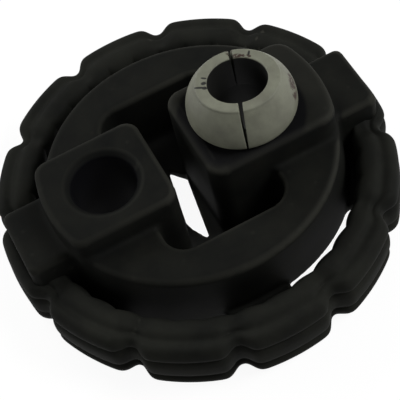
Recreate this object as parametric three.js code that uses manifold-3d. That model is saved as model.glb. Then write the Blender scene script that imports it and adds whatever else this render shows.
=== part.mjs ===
// Exhaust hanger: a black rubber ring with two bores and a light grey split bush in one of them.
// Millimetres, +Z up. The hanger lies flat on its underside at z = 0, the bores run along Z,
// and X runs from the plain bore to the bore with the bush.
import * as THREE from "three";
import { mergeVertices } from "three/addons/utils/BufferGeometryUtils.js";
import Module from "manifold-3d";

// Outer band
const bandHeight = 15;
const bandOuterRadius = 44.5;
const bandValleyRadius = 41.6;
const bandInnerRadius = 34.9;
const bandNarrowing = 0.988;
const bandMiddleGroove = 1.0;
const bandTopGroove = 1.0;
const lobeCount = 12;
const lobeArc = 21;
const valleyFloorArc = 2.4;
const valleyDip = 1.8;
const valleyRodRadius = 2.6;
const valleyRodLength = 14;
const ribCount = 36;
const ribDepth = 1.0;
const ribTurn = 1.2;

// Inner loop
const loopHeight = 19.7;
const loopRadiusX = 31.9;
const loopRadiusY = 30.5;
const loopFootX = 34.4;
const loopFootY = 27.9;
const loopEdge = 1.1;
const cavityHalfX = 13.6;
const cavityHalfY = 20.2;
const cavityCorner = 5;
const floorThickness = 2.4;

// Plain boss with the open bore
const plainBossHeight = 25.5;
const plainBossEnd = -7.0;
const plainBossHalfWidth = 11.8;
const plainBossOuterRadius = 32.4;
const plainBossCorner = 3.2;
const plainBossEdge = 0.7;
const plainBoreX = -19.2;
const plainBoreRadius = 7.0;
const plainBoreChamfer = 1.2;

// Boss that holds the bush
const bushBossHeight = 26.7;
const bushBossEnd = 0.4;
const bushBossHalfWidth = 12.3;
const bushBossOuterRadius = 31.5;
const bushBossCorner = 3.8;
const bushBossEdge = 1.0;

// Bridge pads between loop and band
const padHalfWidth = 8.5;
const padOuterX = 41.0;
const padInnerX = 27;
const padHeight = 19.7;
const padCorner = 1.6;
const padEdge = 0.7;

// Low webs that close the gap between loop and band at both pads and across the middle
const webThickness = 2.4;
const webReach = 18.4;
const webInnerX = 12;
const webOuterX = 42;
const middleWebReach = 6.5;
const middleWebInnerY = 24;
const middleWebOuterY = 42;

// Slot through the floor between the two bosses, with a narrower near end
const slotOutline = [
  [-2.75, 12.0],
  [-5.45, -2.8],
  [-5.1, -5.0],
  [-4.4, -8.0],
  [-3.9, -9.1],
  [-2.6, -8.9],
  [0.1, 8.3],
];

// Split bush
const bushX = 13.75;
const bushBoreRadius = 6.0;
const bushWall = 2.0;
const bushFit = 0.3;
const bushHeadHeight = 9.1;
const bushHeadRadius = 11.6;
const bushRimRadius = 8.6;
const bushHeadCurve = 1.9;
const bushHeadTaper = 0.88;
const bushFootRecess = 1.0;
const bushSlit = 0.5;
const bushSlitMouth = 1.3;
const bushSlitAngles = [74, 248];

const radians = THREE.MathUtils.degToRad;
const wasm = await Module();
wasm.setup();

// Turns a closed three.js geometry into a solid that can be joined and cut.
function solidFrom(geometry) {
  const bare = geometry.clone();
  bare.deleteAttribute("normal");
  bare.deleteAttribute("uv");
  const merged = mergeVertices(bare, 1e-4);
  const mesh = new wasm.Mesh({
    numProp: 3,
    vertProperties: new Float32Array(merged.attributes.position.array),
    triVerts: new Uint32Array(merged.index.array),
  });
  return new wasm.Manifold(mesh);
}

// Gives a solid's vertices and triangles back as a three.js geometry.
function geometryFrom(solid) {
  const mesh = solid.getMesh();
  const geometry = new THREE.BufferGeometry();
  geometry.setAttribute("position", new THREE.BufferAttribute(new Float32Array(mesh.vertProperties), 3));
  geometry.setIndex(new THREE.BufferAttribute(new Uint32Array(mesh.triVerts), 1));
  geometry.computeVertexNormals();
  return geometry;
}

// Extrudes an outline along Z from one level to another, with edges rounded inside the outline.
function prism(shape, bottom, top, edge = 0, curveSegments = 6) {
  const options = { depth: top - bottom - 2 * edge, bevelEnabled: edge > 0, curveSegments, steps: 1 };
  if (edge > 0) {
    Object.assign(options, { bevelSize: edge, bevelThickness: edge, bevelOffset: -edge, bevelSegments: 3 });
  }
  const geometry = new THREE.ExtrudeGeometry(shape, options);
  geometry.translate(0, 0, bottom + edge);
  return geometry;
}

// Revolves an [radius, height] profile about Z.
function revolved(points, segments) {
  const geometry = new THREE.LatheGeometry(points.map(([r, z]) => new THREE.Vector2(r, z)), segments);
  geometry.rotateX(Math.PI / 2);
  return geometry;
}

function polar(radius, degrees) {
  return [radius * Math.cos(radians(degrees)), radius * Math.sin(radians(degrees))];
}

// Rectangle with one corner radius, given by its sides.
function roundedRectangle(x0, x1, y0, y1, corner) {
  const shape = new THREE.Shape();
  shape.moveTo(x0 + corner, y0);
  shape.lineTo(x1 - corner, y0);
  shape.absarc(x1 - corner, y0 + corner, corner, -Math.PI / 2, 0);
  shape.lineTo(x1, y1 - corner);
  shape.absarc(x1 - corner, y1 - corner, corner, 0, Math.PI / 2);
  shape.lineTo(x0 + corner, y1);
  shape.absarc(x0 + corner, y1 - corner, corner, Math.PI / 2, Math.PI);
  shape.lineTo(x0, y0 + corner);
  shape.absarc(x0 + corner, y0 + corner, corner, Math.PI, 1.5 * Math.PI);
  return shape;
}

// Outline of a boss: straight sides, a rounded inner end, and an outer end that follows the loop.
function bossOutline(innerEnd, halfWidth, outerRadius, corner) {
  const side = Math.sign(outerRadius);
  const radius = Math.abs(outerRadius);
  const spread = Math.asin(halfWidth / radius);
  const shape = new THREE.Shape();
  const inner = innerEnd * side;
  shape.absarc(0, 0, radius, -spread, spread);
  shape.lineTo(inner + corner, halfWidth);
  shape.absarc(inner + corner, halfWidth - corner, corner, Math.PI / 2, Math.PI);
  shape.lineTo(inner, -halfWidth + corner);
  shape.absarc(inner + corner, -halfWidth + corner, corner, Math.PI, 1.5 * Math.PI);
  return shape;
}

// Half of the band's section, from the inner wall over the top to the middle of the outer wall.
// Two grooves part it into an inner bulge, a corner bulge and a middle bulge.
const bandMiddle = bandHeight / 2;
const upperSection = [
  [bandInnerRadius - 0.5, bandMiddle + 4.4],
  [bandInnerRadius + 0.4, bandMiddle + 5.9],
  [bandInnerRadius + 1.4, bandMiddle + 7.0],
  [bandInnerRadius + 3.0, bandHeight],
  [bandInnerRadius + 4.8, bandHeight - 0.2],
  [bandInnerRadius + 5.9, bandHeight - bandTopGroove],
  [bandInnerRadius + 7.1, bandHeight - 0.5],
  [bandOuterRadius - 1.0, bandHeight - 1.4],
  [bandOuterRadius - 0.2, bandHeight - 3.1],
  [bandOuterRadius - bandMiddleGroove, bandHeight - 4.6],
  [bandOuterRadius - 0.1, bandHeight - 5.8],
];
const lowerSection = upperSection.map(([r, z]) => [r, bandHeight - z]);
const bandRing = revolved([...lowerSection, ...[...upperSection].reverse(), lowerSection[0]], 96);
bandRing.scale(bandNarrowing, 1, 1);

// Plan outline of the band: twelve lobes outside with a rounded valley between them,
// and thirty-six shallow ribs around the inner wall that meet in sharp creases.
function bandPlan() {
  const pitch = 360 / lobeCount;
  const reach = bandOuterRadius + 3;
  const shape = new THREE.Shape();
  shape.moveTo(...polar(reach, -lobeArc / 2));
  for (let n = 0; n < lobeCount; n++) {
    const middle = n * pitch;
    shape.lineTo(...polar(reach, middle + lobeArc / 2));
    const valley = middle + pitch / 2;
    shape.quadraticCurveTo(
      ...polar(bandValleyRadius + 0.9, valley - valleyFloorArc),
      ...polar(bandValleyRadius, valley),
    );
    shape.quadraticCurveTo(
      ...polar(bandValleyRadius + 0.9, valley + valleyFloorArc),
      ...polar(reach, middle + pitch - lobeArc / 2),
    );
  }
  const hole = new THREE.Path();
  const ribPitch = 360 / ribCount;
  hole.moveTo(...polar(bandInnerRadius + ribDepth, ribTurn - ribPitch / 2));
  for (let n = 0; n < ribCount; n++) {
    const middle = n * ribPitch + ribTurn;
    hole.quadraticCurveTo(
      ...polar(bandInnerRadius - ribDepth, middle),
      ...polar(bandInnerRadius + ribDepth, middle + ribPitch / 2),
    );
  }
  shape.holes.push(hole);
  return shape;
}

const bandPlate = prism(bandPlan(), -1, bandHeight + 1, 0, 3);
bandPlate.scale(bandNarrowing, 1, 1);
let band = solidFrom(bandRing).intersect(solidFrom(bandPlate));

// The valleys carry on across the top and bottom of the band as shallow dips.
for (let n = 0; n < lobeCount; n++) {
  const valley = (n + 0.5) * (360 / lobeCount);
  for (const level of [bandHeight + valleyRodRadius - valleyDip, valleyDip - valleyRodRadius]) {
    const rod = new THREE.CylinderGeometry(valleyRodRadius, valleyRodRadius, valleyRodLength, 8);
    rod.rotateZ(Math.PI / 2);
    rod.translate(bandInnerRadius + 5, 0, level);
    rod.rotateZ(radians(valley));
    band = band.subtract(solidFrom(rod));
  }
}

// Inner loop: an oval block with a rounded top edge, hollowed to a thin floor.
// Its foot is longer along X and shorter along Y than its top.
const loopProfile = [[0, 0], [loopRadiusX, 0], [loopRadiusX, loopHeight - loopEdge]];
for (let n = 1; n <= 4; n++) {
  const turn = (n / 4) * (Math.PI / 2);
  loopProfile.push([
    loopRadiusX - loopEdge + loopEdge * Math.cos(turn),
    loopHeight - loopEdge + loopEdge * Math.sin(turn),
  ]);
}
loopProfile.push([0, loopHeight]);
const loopGeometry = revolved(loopProfile, 72);
const loopPoints = loopGeometry.attributes.position;
for (let n = 0; n < loopPoints.count; n++) {
  const rise = Math.min(loopPoints.getZ(n) / (loopHeight - loopEdge), 1);
  const halfX = loopFootX + (loopRadiusX - loopFootX) * rise;
  const halfY = loopFootY + (loopRadiusY - loopFootY) * rise;
  loopPoints.setX(n, loopPoints.getX(n) * (halfX / loopRadiusX));
  loopPoints.setY(n, loopPoints.getY(n) * (halfY / loopRadiusX));
}
const cavity = roundedRectangle(-cavityHalfX, cavityHalfX, -cavityHalfY, cavityHalfY, cavityCorner);
let rubber = solidFrom(loopGeometry).subtract(solidFrom(prism(cavity, floorThickness, loopHeight + 1)));

// Bosses, standing in the hollow loop from the floor up.
const plainOutline = bossOutline(plainBossEnd, plainBossHalfWidth, -plainBossOuterRadius, plainBossCorner);
const plainBoss = prism(plainOutline, floorThickness - 2, plainBossHeight, plainBossEdge, 5);
plainBoss.rotateZ(Math.PI);
const bushOutline = bossOutline(bushBossEnd, bushBossHalfWidth, bushBossOuterRadius, bushBossCorner);
const bushBoss = prism(bushOutline, floorThickness - 2, bushBossHeight, bushBossEdge, 5);
rubber = rubber.add(solidFrom(plainBoss)).add(solidFrom(bushBoss));

// Bridge pads, flush with the top of the loop.
for (const turn of [0, Math.PI]) {
  const pad = prism(
    roundedRectangle(padInnerX, padOuterX, -padHalfWidth, padHalfWidth, padCorner),
    0,
    padHeight,
    padEdge,
    3,
  );
  pad.rotateZ(turn);
  rubber = rubber.add(solidFrom(pad));
}

// Webs: slices of a low disc at each pad and across the middle, from the loop's foot to the band.
const webRadius = bandInnerRadius + ribDepth + 0.6;
for (const side of [1, -1]) {
  const disc = revolved([[0, 0], [webRadius, 0], [webRadius, webThickness], [0, webThickness]], 72);
  disc.scale(bandNarrowing, 1, 1);
  const slice = new THREE.BoxGeometry(webOuterX - webInnerX, webReach * 2, webThickness * 2);
  slice.translate(side * (webInnerX + webOuterX) / 2, 0, webThickness / 2);
  rubber = rubber.add(solidFrom(disc).intersect(solidFrom(slice)));
  const middleSlice = new THREE.BoxGeometry(middleWebReach * 2, middleWebOuterY - middleWebInnerY, webThickness * 2);
  middleSlice.translate(0, side * (middleWebInnerY + middleWebOuterY) / 2, webThickness / 2);
  rubber = rubber.add(solidFrom(disc).intersect(solidFrom(middleSlice)));
}
rubber = rubber.add(band);

// Bores through both bosses, the plain one with a chamfered mouth.
const plainBore = revolved([
  [0, -1],
  [plainBoreRadius, -1],
  [plainBoreRadius, plainBossHeight - plainBoreChamfer],
  [plainBoreRadius + plainBoreChamfer + 0.5, plainBossHeight + 0.5],
  [0, plainBossHeight + 0.5],
], 40);
plainBore.translate(plainBoreX, 0, 0);
const bushSeatRadius = bushBoreRadius + bushWall + bushFit;
const bushSeat = revolved([
  [0, -1],
  [bushSeatRadius, -1],
  [bushSeatRadius, bushBossHeight + 1],
  [0, bushBossHeight + 1],
], 40);
bushSeat.translate(bushX, 0, 0);
rubber = rubber.subtract(solidFrom(plainBore)).subtract(solidFrom(bushSeat));

// Slot through the floor between the bosses.
const slotShape = new THREE.Shape(slotOutline.map(([x, y]) => new THREE.Vector2(x, y)));
rubber = rubber.subtract(solidFrom(prism(slotShape, -1, floorThickness + 1)));

const rubberHanger = new THREE.Mesh(
  geometryFrom(rubber),
  new THREE.MeshStandardMaterial({ color: 0x1b1c1a, roughness: 0.55, metalness: 0 }),
);
rubberHanger.name = "rubber_hanger";

// Bush: a plain sleeve under a domed head, split on both sides from the rim to the boss.
const headBottom = bushBossHeight + bushFit;
const headTop = headBottom + bushHeadHeight;
const bushOuterRadius = bushBoreRadius + bushWall;
const bushProfile = [
  [bushBoreRadius, bushFootRecess],
  [bushOuterRadius, bushFootRecess],
  [bushOuterRadius, headBottom],
  [bushHeadRadius, headBottom],
];
const headSteps = 8;
for (let n = 1; n <= headSteps; n++) {
  const rise = n / headSteps;
  const inward = (1 - rise ** bushHeadCurve) ** bushHeadTaper;
  bushProfile.push([bushRimRadius + (bushHeadRadius - bushRimRadius) * inward, headBottom + bushHeadHeight * rise]);
}
bushProfile.push([bushBoreRadius + 0.3, headTop], [bushBoreRadius, headTop - 0.4], [bushBoreRadius, bushFootRecess]);
const bushBody = revolved(bushProfile, 56);
let bush = solidFrom(bushBody);
for (const angle of bushSlitAngles) {
  const slitBox = new THREE.BoxGeometry(bushHeadRadius + 1, bushSlit, bushHeadHeight + 2);
  slitBox.translate((bushHeadRadius + 1) / 2, 0, headBottom + 0.2 + (bushHeadHeight + 2) / 2);
  slitBox.rotateZ(radians(angle));
  const mouth = new THREE.CylinderGeometry(bushSlitMouth, bushSlitMouth, bushHeadRadius, 4);
  mouth.rotateZ(Math.PI / 2);
  mouth.translate(bushHeadRadius / 2, 0, headTop + 0.5);
  mouth.rotateZ(radians(angle));
  bush = bush.subtract(solidFrom(slitBox)).subtract(solidFrom(mouth));
}

const splitBush = new THREE.Mesh(
  geometryFrom(bush),
  new THREE.MeshStandardMaterial({ color: 0x8f8f8a, roughness: 0.5, metalness: 0 }),
);
splitBush.name = "split_bush";
splitBush.position.set(bushX, 0, 0);

const hanger = new THREE.Group();
hanger.add(rubberHanger, splitBush);

export default hanger;
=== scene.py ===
import bpy
import numpy as np
from mathutils import Matrix, Vector


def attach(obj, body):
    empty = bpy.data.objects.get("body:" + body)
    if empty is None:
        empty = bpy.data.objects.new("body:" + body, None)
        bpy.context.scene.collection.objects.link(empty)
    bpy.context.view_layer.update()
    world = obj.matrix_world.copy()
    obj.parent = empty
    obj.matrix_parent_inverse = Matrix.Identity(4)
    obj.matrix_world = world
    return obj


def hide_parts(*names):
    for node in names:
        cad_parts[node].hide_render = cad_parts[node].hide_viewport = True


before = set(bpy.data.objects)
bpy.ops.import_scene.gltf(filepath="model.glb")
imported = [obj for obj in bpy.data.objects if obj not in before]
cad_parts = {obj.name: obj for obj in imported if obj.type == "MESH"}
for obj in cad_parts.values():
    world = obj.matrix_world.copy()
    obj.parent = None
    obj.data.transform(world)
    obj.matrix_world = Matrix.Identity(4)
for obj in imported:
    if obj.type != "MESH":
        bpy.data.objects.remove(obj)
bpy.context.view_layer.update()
bpy.context.scene.view_settings.view_transform = "Standard"

# Inner moulding
# One body of black rubber: an oval loop hollowed to a thin floor, two bosses with bores standing in it,
# a bridge pad at each end, and low webs at the pads and across the middle. Every inner corner has a fillet.
mm = 0.001  # All sizes are in millimetres, and so are the meshes before mesh_piece.
loop_height = 19.7
loop_shoulder = 1.6
loop_top_x = 31.9
loop_top_y = 30.5
loop_foot_x = 34.4
loop_foot_y = 28.2
loop_edge = 1.5
cavity_half_x = 13.6
cavity_half_y = 20.2
cavity_corner = 5.0
cavity_foot_fillet = 2.0
cavity_edge = 1.3
floor_thickness = 2.4
boss_foot = 0.5
boss_foot_edge = 0.4
boss_fillet = 1.2
past_the_loop = 60.0
plain_boss_height = 25.5
plain_boss_end = -7.0
plain_boss_half_width = 11.8
plain_boss_corner = 3.2
plain_boss_radius = 32.4
plain_boss_back_edge = 2.2
plain_boss_edge = 1.3
plain_bore_x = -19.2
plain_bore_radius = 7.0
plain_bore_chamfer = 1.2
plain_bore_edge = 0.5
bush_boss_height = 26.7
bush_boss_end = 0.4
bush_boss_half_width = 12.3
bush_boss_corner = 3.8
bush_boss_radius = 31.5
bush_boss_back_edge = 3.0
bush_boss_edge = 1.8
bush_x = 13.75
bush_seat_radius = 8.3
bush_seat_edge = 1.0
lip_width = 2.4
lip_slope = 1.2
lip_height = 0.45
lip_end_past_bush = 3.0
lip_run = 12.0
pad_half_width = 8.5
pad_outer_x = 41.0
pad_inner_x = 27.0
pad_height = 19.7
pad_corner = 1.8
pad_edge = 1.6
pad_fillet = 1.0
web_height = 2.4
web_edge = 0.8
web_fillet = 0.8
web_reach = 18.4
web_inner_x = 14.0
web_radius = 36.5
middle_web_left = -8.5
middle_web_right = 6.5
middle_web_inner_y = 24.0
slot_outline = (
    (-2.75, 12.0), (-5.6, -3.2), (-5.2, -5.2), (-4.05, -7.7), (-3.5, -8.9), (-2.75, -8.9), (0.1, 8.3),
)
slot_edge = 0.2
slot_above_floor = 2.0
underside_edge = 0.4
moulding_low = (-42.5, -37.5, -1.5)
moulding_high = (42.5, 37.5, 28.5)
skin_step = 0.5
skin_passes = 3
skin_probe = 0.05
skin_least_slope = 0.2
skin_longest_move = 0.2


def joined(a, b, fillet):
    """Union of two distance fields with a fillet: the smaller one, less a quarter of the squared overlap."""
    overlap = np.maximum(fillet - np.abs(a - b), 0) / fillet
    return np.minimum(a, b) - overlap * overlap * fillet / 4


def common(a, b, edge):
    """Intersection of two distance fields with a rounded edge: the union turned inside out."""
    return -joined(-a, -b, edge)


def rounded_plan(x, y, x0, x1, half_width, corner):
    """Distance to a rectangle from x0 to x1, with rounded corners, seen along Z."""
    outward_x = np.abs(x - (x0 + x1) / 2) - (x1 - x0) / 2 + corner
    outward_y = np.abs(y) - half_width + corner
    outside = np.hypot(np.maximum(outward_x, 0), np.maximum(outward_y, 0))
    return outside + np.minimum(np.maximum(outward_x, outward_y), 0) - corner


def moulding(x, y, z):
    """Distance to the inner moulding's skin in millimetres, below zero inside the rubber."""
    rise = np.clip(z / (loop_height - loop_shoulder), 0, 1)
    half_x = loop_foot_x + (loop_top_x - loop_foot_x) * rise
    half_y = loop_foot_y + (loop_top_y - loop_foot_y) * rise
    ratio = np.hypot(x / half_x, y / half_y)
    slope = np.hypot(x / half_x**2, y / half_y**2) / np.maximum(ratio, 1e-6)
    loop = common((ratio - 1) / np.maximum(slope, 1e-3), z - loop_height, loop_edge)
    cavity = rounded_plan(x, y, -cavity_half_x, cavity_half_x, cavity_half_y, cavity_corner)
    loop = common(loop, -common(cavity, floor_thickness - z, cavity_foot_fillet), cavity_edge)

    off_middle = np.hypot(x, y)
    plain_plan = rounded_plan(x, y, -past_the_loop, plain_boss_end, plain_boss_half_width, plain_boss_corner)
    plain_plan = common(plain_plan, off_middle - plain_boss_radius, plain_boss_back_edge)
    plain_boss = common(plain_plan, z - plain_boss_height, plain_boss_edge)
    plain_boss = common(plain_boss, boss_foot - z, boss_foot_edge)
    bush_plan = rounded_plan(x, y, bush_boss_end, past_the_loop, bush_boss_half_width, bush_boss_corner)
    bush_plan = common(bush_plan, off_middle - bush_boss_radius, bush_boss_back_edge)
    lip = lip_height * np.clip((bush_x + lip_end_past_bush - x) / lip_run, 0, 1)
    bush_top = bush_boss_height - lip * np.clip((-bush_plan - lip_width) / lip_slope, 0, 1)
    bush_boss = common(bush_plan, z - bush_top, bush_boss_edge)
    bush_boss = common(bush_boss, boss_foot - z, boss_foot_edge)
    body = joined(joined(loop, plain_boss, boss_fillet), bush_boss, boss_fillet)

    pad_plan = rounded_plan(np.abs(x), y, pad_inner_x, pad_outer_x, pad_half_width, pad_corner)
    body = joined(body, common(pad_plan, z - pad_height, pad_edge), pad_fillet)
    web = np.maximum(np.abs(y) - web_reach, off_middle - web_radius)
    web = np.maximum(web, web_inner_x - np.abs(x))
    middle_web = np.maximum(middle_web_left - x, x - middle_web_right)
    middle_web = np.maximum(middle_web, off_middle - web_radius)
    web = np.minimum(web, np.maximum(middle_web, middle_web_inner_y - np.abs(y)))
    body = joined(body, common(web, z - web_height, web_edge), web_fillet)

    plain_bore = np.hypot(x - plain_bore_x, y) - plain_bore_radius
    mouth = plain_bore - np.maximum(z - plain_boss_height + plain_bore_chamfer, 0)
    body = common(body, -mouth, plain_bore_edge)
    body = common(body, bush_seat_radius - np.hypot(x - bush_x, y), bush_seat_edge)
    slot = np.full_like(x, -1e3)
    for start, end in zip(slot_outline, slot_outline[1:] + slot_outline[:1]):
        along = np.subtract(end, start) / np.hypot(*np.subtract(end, start))
        slot = np.maximum(slot, (x - start[0]) * along[1] - (y - start[1]) * along[0])
    slot = np.maximum(slot, z - floor_thickness - slot_above_floor)
    body = common(body, -slot, slot_edge)
    return common(body, -z, underside_edge)


def skin(distance, low, high, step):
    """Quads over the zero surface of a distance field: one vertex in each grid cell that the surface crosses,
    at the mean of the crossings on the cell's edges, then moved along the gradient onto the surface."""
    axes = [np.arange(a, b + step, step) for a, b in zip(low, high)]
    points = np.meshgrid(*axes, indexing="ij")
    field = distance(*points)
    inside = field < 0
    shape = tuple(n - 1 for n in field.shape)
    total = np.zeros(shape + (3,))
    count = np.zeros(shape)
    crossings = []
    for axis in range(3):
        first = [slice(None)] * 3
        second = [slice(None)] * 3
        first[axis] = slice(0, -1)
        second[axis] = slice(1, None)
        first, second = tuple(first), tuple(second)
        crossed = inside[first] != inside[second]
        crossings.append((crossed, inside[first]))
        share = np.where(crossed, field[first] / np.where(crossed, field[first] - field[second], 1), 0)
        place = [np.where(crossed, points[k][first] + share * step * (k == axis), 0) for k in range(3)]
        others = [k for k in range(3) if k != axis]
        for shift_a in (0, 1):
            for shift_b in (0, 1):
                window = [slice(None)] * 3
                window[others[0]] = slice(shift_a, shift_a + shape[others[0]])
                window[others[1]] = slice(shift_b, shift_b + shape[others[1]])
                window = tuple(window)
                count += crossed[window]
                for k in range(3):
                    total[..., k] += place[k][window]
    used = count > 0
    number = np.full(shape, -1)
    number[used] = np.arange(used.sum())
    vertices = total[used] / count[used][:, None]
    for _ in range(skin_passes):
        value = distance(*vertices.T)
        gradient = np.stack([
            distance(*(vertices + offset).T) - distance(*(vertices - offset).T)
            for offset in np.eye(3) * skin_probe
        ], axis=-1) / (2 * skin_probe)
        size = np.maximum((gradient**2).sum(axis=-1), skin_least_slope)
        vertices -= np.clip(value / size, -skin_longest_move, skin_longest_move)[:, None] * gradient
    faces = []
    for axis, (crossed, starts_inside) in enumerate(crossings):
        a, b = [k for k in range(3) if k != axis]
        i = np.argwhere(crossed)
        i = i[(i[:, a] > 0) & (i[:, b] > 0) & (i[:, a] < shape[a]) & (i[:, b] < shape[b])]
        flip = starts_inside[tuple(i.T)] != (axis == 1)
        step_a = np.eye(3, dtype=int)[a]
        step_b = np.eye(3, dtype=int)[b]
        ring = [i - step_a - step_b, i - step_b, i, i - step_a]
        quad = np.stack([number[tuple(corner.T)] for corner in ring], axis=-1)
        quad[~flip] = quad[~flip][:, ::-1]
        faces.append(quad)
    return vertices, np.concatenate(faces).tolist()


def mesh_piece(name, vertices, faces):
    """A smooth shaded mesh object from vertices in millimetres and faces as lists of vertex numbers."""
    mesh = bpy.data.meshes.new(name)
    mesh.from_pydata((vertices * mm).tolist(), [], faces)
    mesh.update()
    mesh.shade_smooth()
    piece = bpy.data.objects.new(name, mesh)
    bpy.context.scene.collection.objects.link(piece)
    return piece


def worked_out(nodes, links, operation, first, second):
    """A sum, product or the like of two values, each a number or a socket; gives the result's socket."""
    step = nodes.new("ShaderNodeMath")
    step.operation = operation
    for socket, value in zip(step.inputs, (first, second)):
        if isinstance(value, (int, float)):
            socket.default_value = value
        else:
            links.new(value, socket)
    return step.outputs["Value"]


def ramped(nodes, links, value, start, full, low=0.0, high=1.0):
    """A value turned into another, which runs from low at the start to high at the full value."""
    ramp = nodes.new("ShaderNodeMapRange")
    ramp.inputs["From Min"].default_value = start
    ramp.inputs["From Max"].default_value = full
    ramp.inputs["To Min"].default_value = low
    ramp.inputs["To Max"].default_value = high
    links.new(value, ramp.inputs["Value"])
    return ramp.outputs["Result"]


def laid_over(nodes, links, under, mask, colour):
    """A colour laid by a mask over the one under it, which is a colour or a socket; gives the mixed one."""
    layer = nodes.new("ShaderNodeMix")
    layer.data_type = "RGBA"
    layer.inputs["B"].default_value = colour
    links.new(mask, layer.inputs["Factor"])
    if isinstance(under, tuple):
        layer.inputs["A"].default_value = under
    else:
        links.new(under, layer.inputs["A"])
    return layer.outputs["Result"]


def cloudy_group():
    """Node group: a slow cloudy mask, a fine grain value and a mask of small round specks, all from 0 to 1,
    on Object coordinates."""
    group = bpy.data.node_groups.new("moulded_surface", "ShaderNodeTree")
    for socket in ("Cloud Scale", "Grain Scale", "Speck Scale"):
        group.interface.new_socket(socket, in_out="INPUT", socket_type="NodeSocketFloat")
    for socket in ("Cloud", "Grain", "Speck"):
        group.interface.new_socket(socket, in_out="OUTPUT", socket_type="NodeSocketFloat")
    nodes, links = group.nodes, group.links
    source = nodes.new("NodeGroupInput")
    target = nodes.new("NodeGroupOutput")
    place = nodes.new("ShaderNodeTexCoord")
    cloud = nodes.new("ShaderNodeTexNoise")
    cloud.inputs["Detail"].default_value = 5.0
    cloud.inputs["Roughness"].default_value = 0.62
    grain = nodes.new("ShaderNodeTexNoise")
    grain.inputs["Detail"].default_value = 3.0
    grain.inputs["Roughness"].default_value = 0.6
    cells = nodes.new("ShaderNodeTexVoronoi")
    cells.feature = "F1"
    for texture, scale in ((cloud, "Cloud Scale"), (grain, "Grain Scale"), (cells, "Speck Scale")):
        links.new(place.outputs["Object"], texture.inputs["Vector"])
        links.new(source.outputs[scale], texture.inputs["Scale"])
    speck = ramped(nodes, links, cells.outputs["Distance"], *speck_radii)
    links.new(cloud.outputs["Fac"], target.inputs["Cloud"])
    links.new(grain.outputs["Fac"], target.inputs["Grain"])
    links.new(speck, target.inputs["Speck"])
    return group


def bore_group():
    """Node group: a mask that is 1 within a radius of a vertical axis and between two heights, and 0
    elsewhere. On the last stretch before the radius and both heights, as wide as the fade, it runs from 1
    to 0."""
    group = bpy.data.node_groups.new("bore_mask", "ShaderNodeTree")
    group.interface.new_socket("Axis", in_out="INPUT", socket_type="NodeSocketVector")
    for socket in ("Radius", "Bottom", "Top", "Fade"):
        group.interface.new_socket(socket, in_out="INPUT", socket_type="NodeSocketFloat")
    group.interface.new_socket("Mask", in_out="OUTPUT", socket_type="NodeSocketFloat")
    nodes, links = group.nodes, group.links
    source = nodes.new("NodeGroupInput")
    target = nodes.new("NodeGroupOutput")
    place = nodes.new("ShaderNodeTexCoord")
    off_axis = nodes.new("ShaderNodeVectorMath")
    off_axis.operation = "SUBTRACT"
    flat = nodes.new("ShaderNodeVectorMath")
    flat.operation = "MULTIPLY"
    flat.inputs[1].default_value = (1, 1, 0)
    radius = nodes.new("ShaderNodeVectorMath")
    radius.operation = "LENGTH"
    height = nodes.new("ShaderNodeSeparateXYZ")
    links.new(place.outputs["Object"], off_axis.inputs[0])
    links.new(source.outputs["Axis"], off_axis.inputs[1])
    links.new(off_axis.outputs["Vector"], flat.inputs[0])
    links.new(flat.outputs["Vector"], radius.inputs[0])
    links.new(place.outputs["Object"], height.inputs["Vector"])
    within = worked_out(nodes, links, "SUBTRACT", source.outputs["Radius"], radius.outputs["Value"])
    below = worked_out(nodes, links, "SUBTRACT", source.outputs["Top"], height.outputs["Z"])
    above = worked_out(nodes, links, "SUBTRACT", height.outputs["Z"], source.outputs["Bottom"])
    least = worked_out(nodes, links, "MINIMUM", worked_out(nodes, links, "MINIMUM", within, below), above)
    mask = nodes.new("ShaderNodeMapRange")
    links.new(least, mask.inputs["Value"])
    links.new(source.outputs["Fade"], mask.inputs["From Max"])
    links.new(mask.outputs["Result"], target.inputs["Mask"])
    return group


def blank_material(name):
    """A material without nodes; gives it with its nodes and links."""
    material = bpy.data.materials.new(name)
    material.use_nodes = True
    nodes, links = material.node_tree.nodes, material.node_tree.links
    nodes.clear()
    return material, nodes, links


def moulded_shader(nodes, links, scales, specular, roughness, grain_strength, grain_height):
    """Shader of a moulded surface with a fine grain, its gloss uneven in soft clouds; gives the shader and
    the group of masks. The scales are those of clouds, grain and specks."""
    out = nodes.new("ShaderNodeOutputMaterial")
    shader = nodes.new("ShaderNodeBsdfPrincipled")
    shader.inputs["Specular IOR Level"].default_value = specular
    surface = nodes.new("ShaderNodeGroup")
    surface.node_tree = moulded_surface
    for socket, scale in zip(("Cloud Scale", "Grain Scale", "Speck Scale"), scales):
        surface.inputs[socket].default_value = scale
    gloss = ramped(nodes, links, surface.outputs["Cloud"], 0.0, 1.0, *roughness)
    bump = nodes.new("ShaderNodeBump")
    bump.inputs["Strength"].default_value = grain_strength
    bump.inputs["Distance"].default_value = grain_height * mm
    links.new(gloss, shader.inputs["Roughness"])
    links.new(surface.outputs["Grain"], bump.inputs["Height"])
    links.new(bump.outputs["Normal"], shader.inputs["Normal"])
    links.new(shader.outputs["BSDF"], out.inputs["Surface"])
    return shader, surface


def round_area(nodes, axis_x, axis_y, reach, bottom, top, fade):
    """The mask of a round area, from its sizes in millimetres."""
    area = nodes.new("ShaderNodeGroup")
    area.node_tree = bore_mask
    area.inputs["Axis"].default_value = (axis_x * mm, axis_y * mm, 0)
    area.inputs["Radius"].default_value = reach * mm
    area.inputs["Bottom"].default_value = bottom * mm
    area.inputs["Top"].default_value = top * mm
    area.inputs["Fade"].default_value = fade * mm
    return area.outputs["Mask"]


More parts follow.
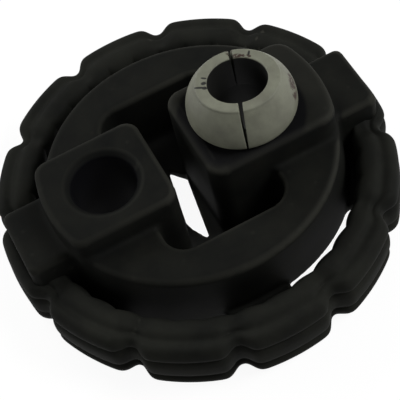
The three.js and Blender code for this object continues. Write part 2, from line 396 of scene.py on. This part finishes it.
def shade_rounds(nodes, links, colour, rounds):
    """Lay the round areas over a colour, one after the other, and give the colour that comes out."""
    for (axis_x, axis_y), reach, bottom, top, fade, strength, round_colour in rounds:
        area = round_area(nodes, axis_x, axis_y, reach, bottom, top, fade)
        amount = worked_out(nodes, links, "MULTIPLY", area, strength)
        colour = laid_over(nodes, links, colour, amount, round_colour)
    return colour


# Distance from a speck's middle where it starts and where it is full, in cells.
speck_radii = (0.16, 0.05)
moulded_surface = cloudy_group()
bore_mask = bore_group()
rubber_dark = (0.0060, 0.0064, 0.0060, 1)
rubber_dusty = (0.0125, 0.0128, 0.0106, 1)
# Pale rubber: specks, and wear with painted light and painted highlight on tops and edges.
rubber_pale_wear_and_light = (0.034, 0.034, 0.028, 1)
# Near black: painted shade in the plain bore, and painted shadow with grease around the bush.
rubber_painted_shade = (0.0036, 0.0037, 0.0046, 1)
# Lighter rubber for the gaps: dust, and painted light that lifts the shade low in them.
rubber_gap_dust_and_light = (0.022, 0.0225, 0.021, 1)
# Round areas of another shade: axis, radius, bottom, top, fade, strength and colour. The low ones are dust
# and painted light in the gaps, lifting the shade there; the high ones are wear with painted light on the
# bush boss's top, and painted shadow with grease in a ring around the bush.
rubber_rounds = (
    # Dust and painted light low in the middle and at both ends.
    ((0.0, 0.0), 26.0, -5.0, 6.0, 3.0, 1.0, rubber_gap_dust_and_light),
    ((-34.0, 0.0), 20.0, -5.0, 6.0, 3.0, 1.0, rubber_gap_dust_and_light),
    ((34.0, 0.0), 20.0, -5.0, 6.0, 3.0, 1.0, rubber_gap_dust_and_light),
    # Wear and painted light on the bush boss's top, lifting the shade that the bush casts there.
    ((bush_x - 2.0, -1.0), 21.0, 25.5, 40.0, 0.6, 0.22, rubber_pale_wear_and_light),
    ((bush_x - 11.0, -2.0), 16.0, 25.5, 40.0, 0.6, 0.30, rubber_pale_wear_and_light),
    # Painted shadow of the bush on its boss, with grease, darkest on the near left.
    ((bush_x - 1.5, -1.8), 14.2, 25.3, 40.0, 0.9, 0.85, rubber_painted_shade),
)
# Painted shade over the plain bore's mouth and chamfer, and darker painted shade down inside the bore.
plain_bore_painted_shade = (
    ((plain_bore_x, 0.0), 8.6, -5.0, 40.0, 0.8, 0.6, rubber_dark),
    ((plain_bore_x, 0.0), 7.4, -5.0, 40.0, 0.4, 1.0, rubber_painted_shade),
)
rubber_scales = (95.0, 2600.0, 260.0)
rubber_specular = 0.03
rubber_roughness = (0.55, 0.75)
rubber_grain = 0.35
rubber_grain_height = 0.06
rubber_bloom = (0.30, 0.75)
rubber_specks = 0.15
# Strength of the edge wear with its painted highlight, and the two places along X that it runs between.
rubber_wear_and_highlight = (0.25, 0.70)
rubber_wear_and_highlight_x = (-20.0, 5.0)
# Pointiness at which the wear and painted highlight start and are full on the inner moulding's edges.
inner_wear_and_highlight = (0.512, 0.532)


def rubber_material(name, dark, dusty, wear_and_highlight_start, wear_and_highlight_full):
    """Black moulded rubber: a faint bloom in soft clouds, pale specks, the round areas, worn edges with a
    painted highlight that get paler towards the bush, and over them painted shade in the plain bore and its
    mouth."""
    material, nodes, links = blank_material(name)
    shader, surface = moulded_shader(
        nodes, links, rubber_scales, rubber_specular, rubber_roughness, rubber_grain, rubber_grain_height
    )
    place = nodes.new("ShaderNodeTexCoord")
    along = nodes.new("ShaderNodeSeparateXYZ")
    links.new(place.outputs["Object"], along.inputs["Vector"])
    edge = nodes.new("ShaderNodeNewGeometry")
    bloom = ramped(nodes, links, surface.outputs["Cloud"], *rubber_bloom)
    specks = worked_out(nodes, links, "MULTIPLY", surface.outputs["Speck"], rubber_specks)
    edges = ramped(nodes, links, edge.outputs["Pointiness"], wear_and_highlight_start, wear_and_highlight_full)
    wear_and_highlight_from, wear_and_highlight_to = (x * mm for x in rubber_wear_and_highlight_x)
    towards_bush = ramped(nodes, links, along.outputs["X"], wear_and_highlight_from, wear_and_highlight_to, *rubber_wear_and_highlight)
    edge_wear_and_highlight = worked_out(nodes, links, "MULTIPLY", edges, towards_bush)
    colour = laid_over(nodes, links, dark, bloom, dusty)
    colour = laid_over(nodes, links, colour, specks, rubber_pale_wear_and_light)
    # Round areas: dust and painted light in the gaps, wear and painted light on the bush boss, painted shadow
    # with grease round the bush.
    colour = shade_rounds(nodes, links, colour, rubber_rounds)
    # Edge wear with a painted highlight on rounded edges, paler towards the bush.
    colour = laid_over(nodes, links, colour, edge_wear_and_highlight, rubber_pale_wear_and_light)
    # Painted shade in the plain bore and its mouth, laid over everything else.
    colour = shade_rounds(nodes, links, colour, plain_bore_painted_shade)
    links.new(colour, shader.inputs["Base Color"])
    return material


inner_moulding = mesh_piece("inner_moulding", *skin(moulding, moulding_low, moulding_high, skin_step))
inner_moulding.data.materials.append(rubber_material("black_rubber", rubber_dark, rubber_dusty, *inner_wear_and_highlight))
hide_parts("rubber_hanger")
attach(inner_moulding, "root")

# Outer band
# The same rubber, moulded in one with the pads: twelve lobes parted by soft notches, two grooves along the
# outside, and a row of shallow ribs around the inner wall.
band_steps_round = 1080
band_steps_across = 88
band_height = 15.0
band_narrowing = 0.983
band_shift_x = -0.2
lobe_count = 12
notch_depth = 2.4
notch_reach = 3.2
notch_steepness = 2.4
notch_dip = 1.1
rib_count = 36
rib_depth = 1.0
rib_turn = 1.2
band_dark = (0.0088, 0.0092, 0.0082, 1)
band_dusty = (0.0180, 0.0186, 0.0152, 1)
# Pointiness at which the edge wear and painted highlight start and are full on the band's edges.
band_wear_and_highlight = (0.54, 0.62)
# Upper half of the section from the inner wall to the middle of the outer wall: radius and height above the
# middle, then how far a notch pulls the point inwards, dips it, and how far a rib pushes it.
band_section = (
    (34.9, 0.0, 0.0, 0.0, 1.0),
    (34.9, 3.0, 0.0, 0.0, 1.0),
    (35.0, 4.6, 0.0, 0.0, 0.8),
    (35.5, 5.9, 0.0, 0.2, 0.45),
    (36.5, 6.9, 0.05, 0.5, 0.15),
    (38.0, 7.4, 0.1, 1.0, 0.0),
    (39.4, 7.35, 0.2, 1.0, 0.0),
    (40.3, 6.8, 0.35, 0.9, 0.0),
    (40.9, 6.45, 0.5, 0.8, 0.0),
    (41.5, 6.65, 0.6, 0.8, 0.0),
    (42.5, 6.85, 0.75, 0.9, 0.0),
    (43.5, 6.3, 0.9, 0.7, 0.0),
    (44.15, 5.1, 1.0, 0.4, 0.0),
    (44.3, 4.1, 1.0, 0.2, 0.0),
    (44.05, 3.5, 1.0, 0.1, 0.0),
    (43.4, 3.0, 0.9, 0.0, 0.0),
    (44.0, 2.5, 1.0, 0.0, 0.0),
    (44.4, 1.6, 1.0, 0.0, 0.0),
    (44.5, 0.6, 1.0, 0.0, 0.0),
)


def closed_spline(points, count):
    """Catmull-Rom curve through a closed row of points, sampled at equal lengths of the first two columns."""
    fine = 24
    along = np.arange(len(points) * fine) / fine
    k = along.astype(int)
    t = (along - k)[:, None]
    p0, p1, p2, p3 = (points[(k + n) % len(points)] for n in (-1, 0, 1, 2))
    squared = 2 * p0 - 5 * p1 + 4 * p2 - p3
    cubed = 3 * p1 - p0 - 3 * p2 + p3
    curve = 0.5 * (2 * p1 + (p2 - p0) * t + squared * t**2 + cubed * t**3)
    closed = np.concatenate([curve, curve[:1]])
    length = np.concatenate([[0], np.cumsum(np.hypot(*np.diff(closed[:, :2], axis=0).T))])
    wanted = np.arange(count) / count * length[-1]
    return np.stack([np.interp(wanted, length, column) for column in closed.T], axis=-1)


def grid_quads(around, across, closed=True):
    """Quads between the rows of a grid of points. A row runs across, round a closed section, and the rows
    follow each other around. Where the surface is closed, the last row meets the first."""
    i, j = np.meshgrid(np.arange(around if closed else around - 1), np.arange(across), indexing="ij")
    ahead = (i + 1) % around
    beside = (j + 1) % across
    corners = [i * across + j, ahead * across + j, ahead * across + beside, i * across + beside]
    return np.stack([corner.ravel() for corner in corners], axis=-1).tolist()


def band_surface():
    """Closed section carried round the Z axis. A notch every 30 degrees pulls the outside in by a bell of the
    azimuth, a rib every 10 degrees pushes the inner wall out along a row of arcs that meet in creases."""
    upper = np.array(band_section)
    lower = upper[1:][::-1] * (1, -1, 1, -1, 1)
    section = closed_spline(np.concatenate([upper, lower]), band_steps_across)
    radius, height, pull, dip, push = (column[None, :] for column in section.T)
    azimuth = np.arange(band_steps_round)[:, None] * (360 / band_steps_round)
    pitch = 360 / lobe_count
    off_notch = np.abs((azimuth + pitch) % pitch - pitch / 2)
    notch = np.exp(-((off_notch / notch_reach) ** notch_steepness))
    rib_pitch = 360 / rib_count
    off_crest = np.abs((azimuth - rib_turn + rib_pitch / 2) % rib_pitch - rib_pitch / 2) / (rib_pitch / 2)
    rib = rib_depth * off_crest**2
    r = radius - notch_depth * notch * pull + rib * push
    z = band_height / 2 + height - notch_dip * notch * dip
    turn = np.radians(azimuth)
    x = r * np.cos(turn) * band_narrowing + band_shift_x
    y = r * np.sin(turn)
    vertices = np.stack([x, y, z], axis=-1).reshape(-1, 3)
    return vertices, grid_quads(band_steps_round, band_steps_across)


outer_band = mesh_piece("outer_band", *band_surface())
outer_band.data.materials.append(rubber_material("band_rubber", band_dark, band_dusty, *band_wear_and_highlight))
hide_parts("rubber_hanger")
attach(outer_band, "root")

# Split bush
# A grey plastic bush: a plain sleeve held in the rubber under a domed head, which a slit parts from the rim
# down on two sides, so that its halves give way when the hanger rod is pushed through.
bush_bore_radius = 6.0
bush_wall = 2.0
bush_foot = 1.0
head_bottom = 27.0
head_top = 36.1
head_radius = 11.6
head_shoulder = 28.3
head_tuck = 1.3
head_curve = 1.9
head_taper = 0.92
rim_radius = 8.6
rim_corner = 0.4
rim_rows = (8.0, 7.7, 7.3, 6.8)
mouth_rounding = 0.3
crease = 0.05
far_slit = 74.0
near_slit = 248.0
slit_top = 0.44
# Half gap at the foot of each slit, and the power of the height at which it opens.
slits = {far_slit: (0.02, 3.0), near_slit: (0.16, 1.0)}
# The rounded edge of a slit face: how far each row stands off the face, and how far it is drawn in.
slit_edge_rows = (0.0, 0.04, 0.12)
slit_edge_insets = (0.12, 0.035, 0.0)
head_middle = (8.6, 31.2)
head_spread = 0.042
spread_azimuth = -19.0
head_shift = 0.2
head_steps_round = 150
corner_rows = 6
dome_rows = 34
bore_rows = 16
under_rows = 9
rim_last_row = 0.15
bore_first_row = 0.5
sleeve_overlap = 0.3
sleeve_middle = 14.0
sleeve_steps_round = 160


def head_section():
    """Closed section of the domed head as radius and height: a rounded foot, the dome, the flat rim with its
    tight corner, the rounded mouth, the bore down, and the under side out again."""
    turn = np.linspace(0, np.pi / 2, corner_rows)
    foot_r = head_radius - head_tuck * (1 - np.sin(turn))
    foot_z = head_shoulder - (head_shoulder - head_bottom) * np.cos(turn)
    rise = np.linspace(0, 1, dome_rows)[1:]
    dome_top = head_top - rim_corner
    dome_r = rim_radius + (head_radius - rim_radius) * (1 - rise**head_curve) ** head_taper
    dome_z = head_shoulder + (dome_top - head_shoulder) * rise
    corner_r = rim_radius - rim_corner * (1 - np.cos(turn[1:]))
    corner_z = dome_top + rim_corner * np.sin(turn[1:])
    mouth = bush_bore_radius + mouth_rounding
    rim_r = np.append(rim_rows, mouth + rim_last_row)
    lip_r = mouth - mouth_rounding * np.sin(turn)
    lip_z = head_top - mouth_rounding * (1 - np.cos(turn))
    bore_z = np.linspace(head_top - bore_first_row, head_bottom + crease, bore_rows)
    bore_z = np.append(bore_z, head_bottom)
    bore_r = np.full(len(bore_z), bush_bore_radius)
    under_r = np.linspace(bush_bore_radius, foot_r[0], under_rows)[1:-1]
    under_r = np.append(bush_bore_radius + crease, under_r)
    under_z = np.full(len(under_r), head_bottom)
    r = np.concatenate([foot_r, dome_r, corner_r, rim_r, lip_r, bore_r, under_r])
    z = np.concatenate([foot_z, dome_z, corner_z, np.full(len(rim_r), head_top), lip_z, bore_z, under_z])
    return r, z


def bush_half(start, end):
    """Part of the head between two slits: its section swept from one slit face to the other. The gap is
    widest at the rim, where the head is also spread across the slit by a cosine of twice the azimuth. The
    edges of the slit faces are rounded, and each face is closed by a fan to its middle."""
    r, z = head_section()
    share = (z - head_bottom) / (head_top - head_bottom)
    gaps = [foot + (slit_top - foot) * share**power for foot, power in (slits[start], slits[end % 360])]
    opening = np.radians(start) + np.arcsin(gaps[0] / r)
    closing = np.radians(end) - np.arcsin(gaps[1] / r)
    between = np.linspace(0, 1, head_steps_round)[1:-1, None]
    off_face = np.array(slit_edge_rows)[:, None] / r
    low, high = opening + off_face, closing - off_face[::-1]
    turn = np.concatenate([low, low[-1] + between * (high[0] - low[-1]), high])
    inset = np.array(slit_edge_insets)
    shrink = np.concatenate([inset, np.zeros(head_steps_round - 2), inset[::-1]])[:, None]
    middle_r, middle_z = head_middle
    reach = np.hypot(r - middle_r, z - middle_z)
    rr = r + (middle_r - r) / reach * shrink
    zz = z + (middle_z - z) / reach * shrink
    rise = (zz - head_bottom) / (head_top - head_bottom)
    rr = rr * (1 + head_spread * rise * np.cos(2 * (turn - np.radians(spread_azimuth))))
    lean = head_shift * rise
    x = bush_x + rr * np.cos(turn) + lean * np.cos(np.radians(near_slit))
    y = rr * np.sin(turn) + lean * np.sin(np.radians(near_slit))
    grid = np.stack([x, y, zz], axis=-1)
    around, across = grid.shape[:2]
    faces = grid_quads(around, across, closed=False)
    vertices = grid.reshape(-1, 3)
    middles = [grid[0].mean(axis=0), grid[-1].mean(axis=0)]
    for end_row, middle in ((0, len(vertices)), (around - 1, len(vertices) + 1)):
        ring = end_row * across + np.arange(across)
        ring_next = end_row * across + (np.arange(across) + 1) % across
        fan = np.stack([ring, ring_next, np.full(across, middle)], axis=-1)
        faces += (fan if end_row == 0 else fan[:, ::-1]).tolist()
    return np.concatenate([vertices, middles]), faces


def sleeve_surface():
    """Closed section of the sleeve, a thin rounded wall, carried round the bush's axis."""
    inner = bush_bore_radius + crease
    outer = bush_bore_radius + bush_wall
    top = head_bottom + sleeve_overlap
    corners = np.array([
        (inner, 2.2), (inner, bush_foot + 0.4), (inner + 0.4, bush_foot), (outer - 0.5, bush_foot),
        (outer, bush_foot + 0.8), (outer, sleeve_middle), (outer, top - 0.1), (outer - 0.05, top),
        (inner + 0.05, top), (inner, top - 0.05), (inner, top - 0.15), (inner, sleeve_middle),
    ])
    turn = np.arange(sleeve_steps_round)[:, None] * (2 * np.pi / sleeve_steps_round)
    r, z = corners[:, 0][None, :], np.broadcast_to(corners[:, 1], (sleeve_steps_round, len(corners)))
    vertices = np.stack([bush_x + r * np.cos(turn), r * np.sin(turn), z], axis=-1).reshape(-1, 3)
    return vertices, grid_quads(sleeve_steps_round, len(corners))


bush_pale = (0.172, 0.178, 0.133, 1)
bush_shade = (0.125, 0.126, 0.096, 1)
bush_grime = (0.030, 0.028, 0.022, 1)
bush_near_black = (0.011, 0.011, 0.010, 1)
bush_rust = (0.030, 0.014, 0.009, 1)
bush_scales = (150.0, 3200.0, 420.0)
bush_specular = 0.30
bush_roughness = (0.45, 0.60)
bush_grain = 0.2
bush_grain_height = 0.04
bush_mottle = (0.36, 0.64)
bush_specks = 0.10
# Near black in the bore, out a little past its wall and up to just under the rim.
dark_bore_reach = 0.65
dark_bore_below_rim = 0.1
dark_bore_fade = 0.15
rust_scale = 1300.0
rust_patches = (0.40, 0.49)
# Marks on the head: azimuth, radius and height of both ends, and half the width.
rim_cuts = (
    ((166.0, 6.4, 36.1), (161.0, 9.0, 36.1), 0.32),
    ((167.0, 6.4, 36.1), (165.0, 7.2, 36.1), 0.50),
    ((155.0, 6.5, 36.1), (156.0, 7.2, 36.1), 0.55),
    ((145.0, 6.3, 36.1), (144.0, 7.5, 36.1), 0.28),
    ((41.0, 6.4, 36.1), (43.0, 7.6, 36.1), 0.30),
)
rust_stains = (
    ((36.0, 6.35, 36.1), (54.0, 6.2, 36.1), 0.55),
    ((54.0, 6.2, 36.1), (72.0, 6.2, 36.1), 0.65),
    ((75.0, 6.2, 36.0), (75.0, 8.6, 36.0), 0.9),
    ((-15.0, 10.8, 33.1), (-37.0, 11.4, 31.0), 2.0),
)


def marks_group(name, marks):
    """Node group: a mask from 0 to 1 that fills a slim ellipse around each mark. The distances to the ends of
    a mark add up to its length on the mark and to sqrt(length^2 + 4 * half_width^2) at the ellipse's side."""
    group = bpy.data.node_groups.new(name, "ShaderNodeTree")
    group.interface.new_socket("Mask", in_out="OUTPUT", socket_type="NodeSocketFloat")
    nodes, links = group.nodes, group.links
    place = nodes.new("ShaderNodeTexCoord")
    target = nodes.new("NodeGroupOutput")
    total = 0.0
    for start, end, half_width in marks:
        ends = [
            Vector((bush_x + r * np.cos(np.radians(a)), r * np.sin(np.radians(a)), z)) * mm
            for a, r, z in (start, end)
        ]
        length = (ends[1] - ends[0]).length
        spans = []
        for point in ends:
            span = nodes.new("ShaderNodeVectorMath")
            span.operation = "DISTANCE"
            span.inputs[1].default_value = point
            links.new(place.outputs["Object"], span.inputs[0])
            spans.append(span.outputs["Value"])
        both = worked_out(nodes, links, "ADD", *spans)
        side = np.hypot(length, 2 * half_width * mm)
        full = np.hypot(length, half_width * mm)
        total = worked_out(nodes, links, "MAXIMUM", total, ramped(nodes, links, both, side, full))
    links.new(total, target.inputs["Mask"])
    return group


def bush_material():
    """Grey plastic, a little mottled, with dark specks, patchy rust, a near black bore and cuts in the rim.
    """
    material, nodes, links = blank_material("grey_plastic")
    shader, surface = moulded_shader(
        nodes, links, bush_scales, bush_specular, bush_roughness, bush_grain, bush_grain_height
    )
    place = nodes.new("ShaderNodeTexCoord")
    blotch = nodes.new("ShaderNodeTexNoise")
    blotch.inputs["Scale"].default_value = rust_scale
    blotch.inputs["Detail"].default_value = 4.0
    links.new(place.outputs["Object"], blotch.inputs["Vector"])
    rust = nodes.new("ShaderNodeGroup")
    rust.node_tree = marks_group("rust_stains", rust_stains)
    cuts = nodes.new("ShaderNodeGroup")
    cuts.node_tree = marks_group("rim_cuts", rim_cuts)
    mottle = ramped(nodes, links, surface.outputs["Cloud"], *bush_mottle)
    specks = worked_out(nodes, links, "MULTIPLY", surface.outputs["Speck"], bush_specks)
    patchy = ramped(nodes, links, blotch.outputs["Fac"], *rust_patches)
    rusty = worked_out(nodes, links, "MULTIPLY", rust.outputs["Mask"], patchy)
    dark_bore_radius = bush_bore_radius + dark_bore_reach
    dark_bore = round_area(nodes, bush_x, 0, dark_bore_radius, 0, head_top - dark_bore_below_rim, dark_bore_fade)
    layers = (
        (mottle, bush_pale),
        (specks, bush_grime),
        (rusty, bush_rust),
        (dark_bore, bush_near_black),
        (cuts.outputs["Mask"], bush_near_black),
    )
    colour = bush_shade
    for mask, layer_colour in layers:
        colour = laid_over(nodes, links, colour, mask, layer_colour)
    links.new(colour, shader.inputs["Base Color"])
    return material


grey_plastic = bush_material()
bush_parts = {
    "bush_head_left": bush_half(far_slit, near_slit),
    "bush_head_right": bush_half(near_slit, far_slit + 360),
    "bush_sleeve": sleeve_surface(),
}
for part_name, surface_of_part in bush_parts.items():
    part = mesh_piece(part_name, *surface_of_part)
    part.data.materials.append(grey_plastic)
    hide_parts("split_bush")
    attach(part, "root")

# Floor
# A plain pale floor just under the hanger. The camera sees it as nearly even white with a faint shadow.
floor_size = 3000.0
floor_drop = 0.2
floor_white = 0.93
floor_pale = (0.45, 0.45, 0.45, 1)
floor_faint = (0.09, 0.09, 0.09, 1)


def floor_material():
    """Pale floor: diffuse for the light that falls on the hanger, near white for what the camera sees."""
    material, nodes, links = blank_material("pale_floor")
    out = nodes.new("ShaderNodeOutputMaterial")
    path = nodes.new("ShaderNodeLightPath")
    pale = nodes.new("ShaderNodeBsdfDiffuse")
    pale.inputs["Color"].default_value = floor_pale
    glow = nodes.new("ShaderNodeEmission")
    glow.inputs["Strength"].default_value = floor_white
    faint = nodes.new("ShaderNodeBsdfDiffuse")
    faint.inputs["Color"].default_value = floor_faint
    white = nodes.new("ShaderNodeAddShader")
    mix = nodes.new("ShaderNodeMixShader")
    seen = worked_out(nodes, links, "MAXIMUM", path.outputs["Is Camera Ray"], path.outputs["Is Glossy Ray"])
    seen = worked_out(nodes, links, "MAXIMUM", seen, path.outputs["Is Transmission Ray"])
    links.new(glow.outputs["Emission"], white.inputs[0])
    links.new(faint.outputs["BSDF"], white.inputs[1])
    links.new(seen, mix.inputs["Fac"])
    links.new(pale.outputs["BSDF"], mix.inputs[1])
    links.new(white.outputs["Shader"], mix.inputs[2])
    links.new(mix.outputs["Shader"], out.inputs["Surface"])
    return material


floor_corners = np.array([(-1, -1, 0), (1, -1, 0), (1, 1, 0), (-1, 1, 0)]) * floor_size / 2
floor = mesh_piece("floor", floor_corners - (0, 0, floor_drop), [[0, 1, 2, 3]])
floor.data.materials.append(floor_material())

# Light
# A weak white surrounding and four broad lamps: behind on the left, low on both sides, and high on the right.
world_level = 0.25
# Place in metres, width and power of each lamp. All point at the middle of the underside.
lamps = {
    "back_left": ((-0.170, 0.633, 0.459), 0.40, 2.7),
    "low_left": ((-0.678, 0.345, 0.247), 0.40, 1.8),
    "high_right": ((0.504, -0.257, 0.566), 0.40, 3.9),
    "low_right": ((0.770, -0.070, 0.210), 0.40, 0.9),
}
world = bpy.data.worlds.new("studio")
bpy.context.scene.world = world
world.use_nodes = True
world_nodes, world_links = world.node_tree.nodes, world.node_tree.links
world_nodes.clear()
world_out = world_nodes.new("ShaderNodeOutputWorld")
world_soft = world_nodes.new("ShaderNodeBackground")
world_soft.inputs["Color"].default_value = (1, 1, 1, 1)
world_soft.inputs["Strength"].default_value = world_level
world_links.new(world_soft.outputs["Background"], world_out.inputs["Surface"])
for lamp_name, (lamp_place, lamp_size, lamp_power) in lamps.items():
    lamp_data = bpy.data.lights.new(lamp_name, "AREA")
    lamp_data.shape = "DISK"
    lamp_data.size = lamp_size
    lamp_data.energy = lamp_power
    lamp = bpy.data.objects.new(lamp_name, lamp_data)
    lamp.location = lamp_place
    lamp.rotation_euler = (-Vector(lamp_place)).to_track_quat("-Z", "Y").to_euler()
    bpy.context.scene.collection.objects.link(lamp)

# Camera
# It looks down on the hanger from in front and a little to the left, and is rolled, as the picture was taken.
camera_place = Vector((-39.60, -157.96, 240.16)) * mm
camera_right = Vector((0.8820, -0.4462, -0.1514))
camera_up = Vector((0.4510, 0.7066, 0.5453))
camera_lens = 116.9
camera_data = bpy.data.cameras.new("camera")
camera_data.sensor_width = 36.0
camera_data.lens = camera_lens
camera = bpy.data.objects.new("camera", camera_data)
camera_turn = Matrix((camera_right, camera_up, camera_right.cross(camera_up))).transposed().to_4x4()
camera.matrix_world = Matrix.Translation(camera_place) @ camera_turn
bpy.context.scene.collection.objects.link(camera)
bpy.context.scene.camera = camera
